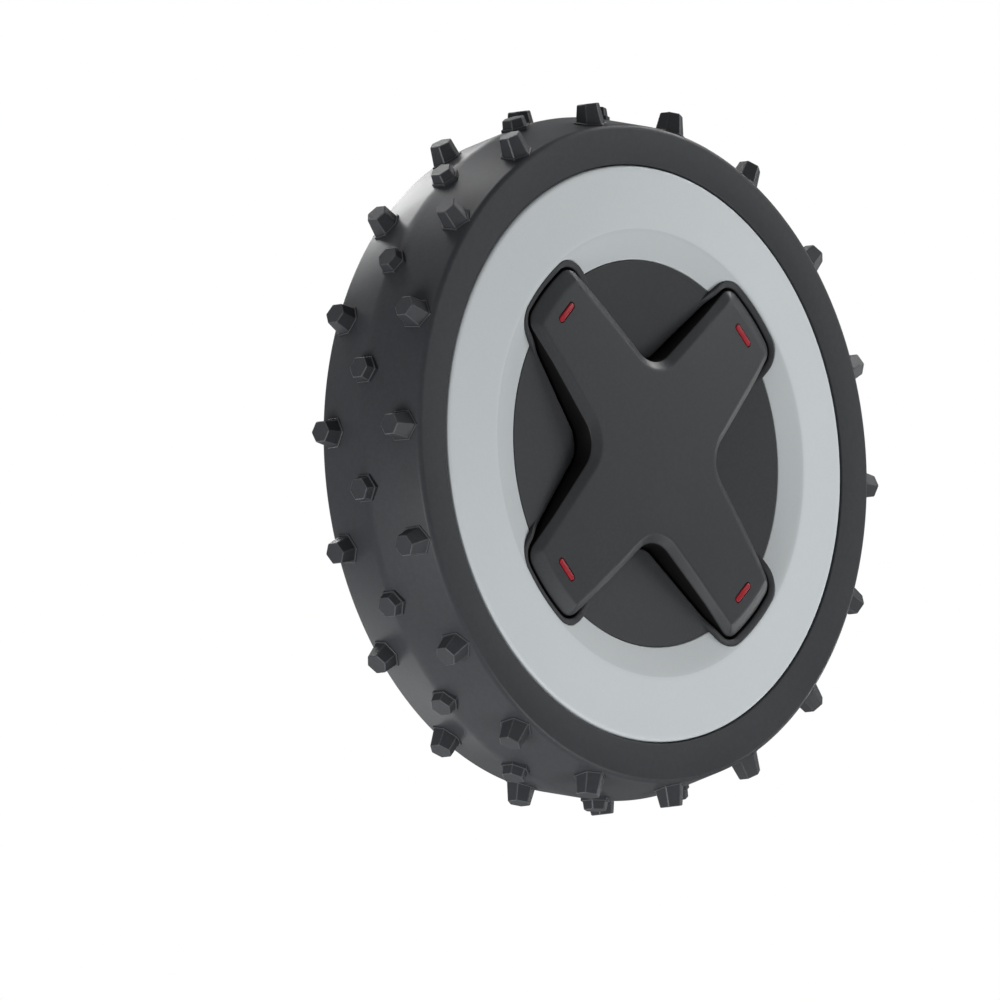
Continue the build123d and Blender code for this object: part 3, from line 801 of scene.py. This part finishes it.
def add_peg(bm, place):
    """Peg of the cap with the boss that carries it."""
    cap = cap_sizes()
    into_roof, into_boss, end_round = 0.6, 0.5, 0.4
    roof = crown_under(place.x, place.z) + into_roof
    for radius, low, high in ((cap.boss_radius, cap.boss_end, roof),
                              (cap.peg_radius, cap.peg_end, cap.boss_end + into_boss)):
        middle = Matrix.Translation((place.x, -(low + high) / 2, place.z))
        made = bmesh.ops.create_cone(
            bm, cap_ends=True, segments=32, radius1=radius, radius2=radius,
            depth=high - low, matrix=middle @ Matrix.Rotation(pi / 2, 4, "X"),
        )
        ends = {edge for vert in made["verts"] for edge in vert.link_edges
                if all(abs(-end.co.y - low) < NEAR for end in edge.verts)}
        bmesh.ops.bevel(
            bm, geom=list(ends), offset=end_round, segments=2, profile=0.5, affect="EDGES",
            material=-1,
        )


def bar_mesh(angle, margin, low, high, edge_round):
    """Bar with round ends, curved along the inlays' circle, between two heights."""
    cap = cap_sizes()
    half = cap.inlay_width / 2 - margin
    sweep = degrees((cap.inlay_length - cap.inlay_width) / cap.inlay_circle) / 2
    places = []
    for turn, first in ((angle + sweep, 0), (angle - sweep, 180)):
        centre = point(cap.inlay_circle, high, turn)
        for bow in spaced(0, 180, 12):
            direction = radians(turn + first + bow)
            places.append(centre + Vector((cos(direction), 0, sin(direction))) * half)
    bm = bmesh.new()
    ring_of(bm, places)
    top = bmesh.ops.contextual_create(bm, geom=bm.edges[:])["faces"]
    grown = bmesh.ops.extrude_face_region(bm, geom=top)["geom"]
    for vert in [item for item in grown if isinstance(item, bmesh.types.BMVert)]:
        vert.co.y = -low
    if edge_round:
        crest = [edge for edge in bm.edges
                 if all(abs(end.co.y + high) < NEAR for end in edge.verts)]
        bmesh.ops.bevel(
            bm, geom=crest, offset=edge_round, segments=3, profile=0.5, affect="EDGES",
            material=-1,
        )
    return bm


def inlay_base():
    """Height of the groove's floor under an inlay."""
    cap = cap_sizes()
    crown = cap.crown - cap.inlay_circle**2 / cap.crown_fall
    return crown + cap.inlay_rise - cap.inlay_depth


def cut_groove(piece, angle):
    """Sinks the groove for one inlay into the cap."""
    bm = bar_mesh(angle, margin=0.0, low=inlay_base(), high=cap_sizes().crown, edge_round=0)
    in_metres(bm)
    mesh = mesh_from("groove_cutter", bm)
    cutter = linked("groove_cutter", mesh)
    cut = piece.modifiers.new("groove", "BOOLEAN")
    cut.operation, cut.object, cut.solver = "DIFFERENCE", cutter, "EXACT"
    cut_piece = piece.evaluated_get(bpy.context.evaluated_depsgraph_get())
    cut_mesh = bpy.data.meshes.new_from_object(cut_piece)
    piece.modifiers.clear()
    piece.data = cut_mesh
    bpy.data.objects.remove(cutter)
    bpy.data.meshes.remove(mesh)


def build_inlays():
    """Four red bars in the grooves near the tips of the cap."""
    cap = cap_sizes()
    for corner, angle in zip(CORNERS, DIAGONALS):
        top = inlay_base() + cap.inlay_depth
        bm = bar_mesh(angle, margin=cap.inlay_gap, low=inlay_base(), high=top, edge_round=0.3)
        mark_sharp(bm, CREASE)
        finished(f"inlay_bar_{corner}", bm, "cap", f"red_inlay_{corner}")


# Finishes


class Signal:
    """A node's output; arithmetic on it adds the Math nodes that work it out."""

    def __init__(self, shading, socket):
        self.shading = shading
        self.socket = socket

    def __add__(self, other):
        return self.shading.math("ADD", self, other)

    def __radd__(self, other):
        return self.shading.math("ADD", other, self)

    def __mul__(self, other):
        return self.shading.math("MULTIPLY", self, other)

    def __rmul__(self, other):
        return self.shading.math("MULTIPLY", other, self)


class Shading:
    """A node tree, built up node by node."""

    def __init__(self, tree):
        self.tree = tree

    def node(self, kind, settings, sockets, output=0):
        """Adds a node with its settings and the values or links of its sockets."""
        made = self.tree.nodes.new(kind)
        for key, value in settings.items():
            setattr(made, key, value)
        for key, value in sockets.items():
            self.feed(made.inputs[key], value)
        return Signal(self, made.outputs[output]) if made.outputs else None

    def feed(self, socket, value):
        """Links a signal to a socket, or sets the socket's own value."""
        if isinstance(value, Signal):
            self.tree.links.new(value.socket, socket)
        else:
            socket.default_value = value

    def math(self, operation, first, second):
        """Result of a Math node on two numbers."""
        return self.node("ShaderNodeMath", {"operation": operation}, {0: first, 1: second})


class Finish(Shading):
    """A material with one Principled shader."""

    def __init__(self, name, roughness, metallic=0.0, specular=0.5):
        self.material = bpy.data.materials.new(name)
        self.material.use_nodes = True
        super().__init__(self.material.node_tree)
        self.shader = self.tree.nodes["Principled BSDF"]
        self.set("Roughness", roughness)
        self.set("Metallic", metallic)
        self.set("Specular IOR Level", specular)

    def noise(self, scale, detail, roughness=0.5):
        """Even noise around 0.5 with grains of about 1/scale metres."""
        return self.node("ShaderNodeTexNoise", {}, {
            "Vector": self.node("ShaderNodeTexCoord", {}, {}, "Object"),
            "Scale": scale, "Detail": detail, "Roughness": roughness,
        })

    def span(self, value, low, high, to_low=0.0, to_high=1.0):
        """Maps a range of a signal to another range, smoothly and within its ends."""
        return self.node("ShaderNodeMapRange", {"interpolation_type": "SMOOTHSTEP"}, {
            "Value": value, "From Min": low, "From Max": high, "To Min": to_low, "To Max": to_high,
        })

    def blend(self, share, first, second):
        """Colour between two colours."""
        return self.node("ShaderNodeMix", {"data_type": "RGBA"}, {
            "Factor": share, MIX_FIRST: first, MIX_SECOND: second,
        }, MIX_RESULT)

    def set(self, name, value):
        """Feeds one of the shader's sockets."""
        self.feed(self.shader.inputs[name], value)

    def bump(self, height, strength, distance):
        """Relief of a height signal in metres of distance."""
        self.set("Normal", self.node("ShaderNodeBump", {}, {
            "Height": height, "Strength": strength, "Distance": distance,
        }))


def shade(rgb, factor):
    """Colour made lighter or darker, with an alpha of 1."""
    return [min(max(channel * factor, 0.0), 1.0) for channel in rgb] + [1.0]


def moulded(name, rgb, roughness, grain=900.0, relief=0.00006, specular=0.1, contrast=0.06):
    """Moulded plastic or rubber with a fine eroded grain and faint clouds in colour and gloss."""
    finish = Finish(name, roughness, specular=specular)
    clouds = finish.noise(scale=22.0, detail=3.0)
    fine = finish.noise(grain, detail=3.0, roughness=0.6)
    speckle = finish.span(fine, 0.35, 0.7)
    tone = finish.span(clouds * 0.7 + speckle * 0.3, 0.25, 0.75)
    darker, lighter = shade(rgb, 1 - contrast), shade(rgb, 1 + contrast)
    finish.set("Base Color", finish.blend(tone, darker, lighter))
    finish.set("Roughness", finish.span(clouds, 0.3, 0.7, roughness - 0.04, roughness + 0.05))
    finish.bump(fine, 0.35, relief)
    return finish.material


def metal(name, rgb, roughness):
    """Bare metal with faint streaks in its gloss and colour."""
    finish = Finish(name, roughness, metallic=1.0)
    clouds = finish.noise(scale=260.0, detail=4.0, roughness=0.6)
    tone = finish.span(clouds, 0.3, 0.7)
    finish.set("Base Color", finish.blend(tone, shade(rgb, 0.85), shade(rgb, 1.1)))
    finish.set("Roughness", finish.span(clouds, 0.3, 0.7, roughness - 0.06, roughness + 0.08))
    finish.bump(clouds, 0.25, 0.00005)
    return finish.material


def dress(materials, *names):
    """Gives materials to objects by name, one for each of their slots."""
    for name in names:
        slots = bpy.data.objects[name].data.materials
        for index, material in enumerate(materials):
            if index < len(slots):
                slots[index] = material
            else:
                slots.append(material)


def light_moulding(name, rgb):
    """Smooth light moulding of the trim ring."""
    return moulded(name, rgb, 0.5, relief=0.00002, specular=0.3, contrast=0.012)


def apply_finishes():
    """Gives every piece and every CAD node that shows its own finish."""
    colours = wheel_colours()
    rubber = moulded("tyre rubber", colours.rubber, 0.42, 700.0, 0.00005, specular=0.12)
    # The studs' edge material is a painted highlight, lighter than the rubber.
    edge_highlight = moulded(
        "rubber with painted edge highlight", colours.edge_highlight, 0.4, relief=0.00004, specular=0.25, contrast=0.15
    )
    dark = moulded("dark moulding", colours.dark, 0.5)
    # Very dark material for the side walls of cap and pocket: painted shade.
    wall_shade = moulded("painted shade on side walls", colours.shadow, 0.6, specular=0.15)
    cap = moulded("cap moulding", colours.cap, 0.42, specular=0.13)
    light = light_moulding("light moulding", colours.light)
    # A darker copy of the light moulding for the ring's inner slope: painted shade.
    inner = light_moulding("light moulding with painted shade on inner slope", colours.inner)
    grey = moulded("grey moulding", colours.grey, 0.5)
    red = moulded("red inlay", colours.red, 0.35, 1200.0, 0.00003, specular=0.15)
    grip = moulded("grip rubber", shade(colours.rubber, 0.7)[:3], 0.7)
    dress([rubber, edge_highlight], "studded_tyre")
    dress([rubber], "tyre")
    dress([dark, wall_shade], "dished_hub_disc")
    dress([dark], "wheel_rim", "rear_ring", "hub_disc")
    dress([cap, wall_shade], "crowned_cross_cap")
    dress([cap], "cross_cap")
    dress([light, inner], "crowned_trim_ring")
    dress([light], "trim_ring")
    dress([grey], "rear_cover")
    for corner in CORNERS:
        dress([red], f"inlay_bar_{corner}", f"red_inlay_{corner}")
        dress([grip], f"cap_grip_{corner}")
    fasteners = [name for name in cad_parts
                 if "screw" in name or name in ("axle_washer", "axle_nut")]
    dress([metal("fastener steel", colours.steel, 0.32)], *fasteners)
    dress([metal("hub metal", colours.hub, 0.48)], "drive_hub")


# Stage


def build_stage():
    """Pale floor, white surroundings, soft lamps and the camera."""
    scene = bpy.context.scene
    scene.view_settings.view_transform = "Standard"
    build_world(scene)
    build_floor()
    for name, (place, side, power) in LAMPS.items():
        area_lamp(name, Vector(place), side, power)
    build_camera(scene)


def build_world(scene):
    """Faint light from all round, brighter where it is mirrored and white where it is seen."""
    world = bpy.data.worlds.new("soft_surround")
    scene.world = world
    world.use_nodes = True
    world.node_tree.nodes.clear()
    sky = Shading(world.node_tree)
    seen, through, mirrored = [
        sky.node("ShaderNodeLightPath", {}, {}, ray)
        for ray in ("Is Camera Ray", "Is Transmission Ray", "Is Glossy Ray")
    ]
    white = sky.math("MAXIMUM", seen, through)
    strength = sky.node("ShaderNodeMapRange", {}, {
        "Value": white, "To Min": SURROUND_LIGHT, "To Max": SURROUND_SEEN,
    })
    light = sky.node("ShaderNodeBackground", {}, {
        "Color": WHITE, "Strength": mirrored * SURROUND_MIRRORED + strength,
    })
    sky.node("ShaderNodeOutputWorld", {}, {"Surface": light})


def build_floor():
    """Wide floor well below the wheel, which looks paler than the light it throws back."""
    bm = bmesh.new()
    bmesh.ops.create_grid(bm, x_segments=1, y_segments=1, size=FLOOR_HALF)
    bmesh.ops.translate(bm, vec=(0, 0, FLOOR_HEIGHT), verts=bm.verts)
    floor = linked("floor", mesh_from("floor", bm))
    finish = Finish("floor paint", 0.8)
    finish.set("Base Color", FLOOR_PAINT)
    seen = finish.node("ShaderNodeLightPath", {}, {}, "Is Camera Ray")
    finish.set("Emission Color", finish.blend(seen, BLACK, FLOOR_GLOW))
    finish.set("Emission Strength", 1.0)
    floor.data.materials.append(finish.material)


def area_lamp(name, place, side, power):
    """Square soft lamp aimed at the wheel."""
    lamp = bpy.data.lights.new(name, "AREA")
    lamp.size = side
    lamp.energy = power
    holder = linked(name, lamp)
    holder.location = place
    holder.rotation_euler = (-place).to_track_quat("-Z", "Y").to_euler()


def build_camera(scene):
    """Parallel camera from the left front, a little below the axle."""
    toward = VIEW_RIGHT.cross(VIEW_UP)
    across, above = VIEW_CENTRE
    camera = bpy.data.cameras.new("camera")
    camera.type = "ORTHO"
    camera.ortho_scale = VIEW_WIDTH
    holder = linked("camera", camera)
    centre = VIEW_RIGHT * across + VIEW_UP * above
    axes = Matrix((VIEW_RIGHT, VIEW_UP, toward)).transposed().to_4x4()
    holder.matrix_world = Matrix.Translation(centre + toward * VIEW_DISTANCE) @ axes
    scene.camera = holder


# Operators and panel


class WHEEL_OT_tyre(bpy.types.Operator):
    """Builds the studded tyre."""

    bl_idname = "wheel.tyre"
    bl_label = "Studded tyre"

    def execute(self, context):
        build_tyre()
        return {"FINISHED"}


class WHEEL_OT_trim_ring(bpy.types.Operator):
    """Builds the crowned trim ring."""

    bl_idname = "wheel.trim_ring"
    bl_label = "Trim ring"

    def execute(self, context):
        build_trim_ring()
        return {"FINISHED"}


class WHEEL_OT_hub_disc(bpy.types.Operator):
    """Builds the dished hub disc with its pocket."""

    bl_idname = "wheel.hub_disc"
    bl_label = "Hub disc"

    def execute(self, context):
        build_hub_disc()
        return {"FINISHED"}


class WHEEL_OT_cap(bpy.types.Operator):
    """Builds the cross cap and its inlays."""

    bl_idname = "wheel.cap"
    bl_label = "Cross cap"

    def execute(self, context):
        build_cap()
        build_inlays()
        return {"FINISHED"}


class WHEEL_OT_finishes(bpy.types.Operator):
    """Gives every piece its finish."""

    bl_idname = "wheel.finishes"
    bl_label = "Finishes"

    def execute(self, context):
        apply_finishes()
        return {"FINISHED"}


class WHEEL_OT_stage(bpy.types.Operator):
    """Builds the floor, the lamps and the camera."""

    bl_idname = "wheel.stage"
    bl_label = "Stage"

    def execute(self, context):
        build_stage()
        return {"FINISHED"}


class WHEEL_PT_panel(bpy.types.Panel):
    """Lists the wheel's operators."""

    bl_idname = "WHEEL_PT_panel"
    bl_label = "Drive wheel"
    bl_space_type = "VIEW_3D"
    bl_region_type = "UI"
    bl_category = "Wheel"

    def draw(self, context):
        for operator in OPERATORS:
            self.layout.operator(operator.bl_idname)


OPERATORS = (
    WHEEL_OT_tyre, WHEEL_OT_trim_ring, WHEEL_OT_hub_disc, WHEEL_OT_cap, WHEEL_OT_finishes,
    WHEEL_OT_stage,
)
GROUPS = {
    "wheel_tyre": TyreSizes,
    "wheel_face": FaceSizes,
    "wheel_cap": CapSizes,
    "wheel_colours": WheelColours,
}


def register():
    """Adds the property groups, the operators and the panel."""
    for group in GROUPS.values():
        bpy.utils.register_class(group)
    for operator in OPERATORS:
        bpy.utils.register_class(operator)
    bpy.utils.register_class(WHEEL_PT_panel)
    for name, group in GROUPS.items():
        setattr(bpy.types.Scene, name, bpy.props.PointerProperty(type=group))


def unregister():
    """Takes away what register adds."""
    for name in GROUPS:
        delattr(bpy.types.Scene, name)
    bpy.utils.unregister_class(WHEEL_PT_panel)
    for operator in reversed(OPERATORS):
        bpy.utils.unregister_class(operator)
    for group in reversed(GROUPS.values()):
        bpy.utils.unregister_class(group)


def main():
    """Builds the wheel and its stage."""
    register()
    bpy.ops.wheel.tyre()
    bpy.ops.wheel.trim_ring()
    bpy.ops.wheel.hub_disc()
    bpy.ops.wheel.cap()
    bpy.ops.wheel.finishes()
    bpy.ops.wheel.stage()


if __name__ == "__main__":
    main()
